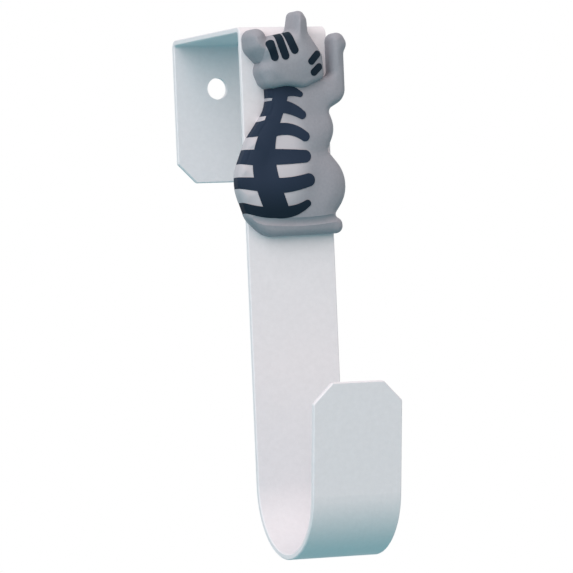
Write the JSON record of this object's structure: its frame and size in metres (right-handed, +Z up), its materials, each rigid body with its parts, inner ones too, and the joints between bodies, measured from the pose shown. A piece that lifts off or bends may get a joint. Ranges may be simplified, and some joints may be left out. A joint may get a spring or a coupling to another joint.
{
  "type": "over door hook",
  "caption": "Over door hook bent from one steel strip, with a flap behind the door, a J cradle in front, and a moulded cat with inlaid dark stripes.",
  "frame": {"origin": "middle of the underside of the top plate, which rests on the door's top edge", "axes": "X to the right seen from the room, +Y from the room into the door, +Z up, as the hook hangs"},
  "size_m": [0.033, 0.0889, 0.1447],
  "materials": {
    "powder_coat": "white powder coat, satin with a fine texture",
    "grey_moulding": "soft matte grey",
    "navy_moulding": "soft matte navy"
  },
  "bodies": {
    "root": {"hook_strip": "powder_coat", "cat_figure": "grey_moulding", "back_stripes": "navy_moulding", "head_stripe_1": "navy_moulding", "head_stripe_2": "navy_moulding", "head_stripe_3": "navy_moulding", "cheek_stripe_1": "navy_moulding", "cheek_stripe_2": "navy_moulding"}
  },
  "joints": []
}
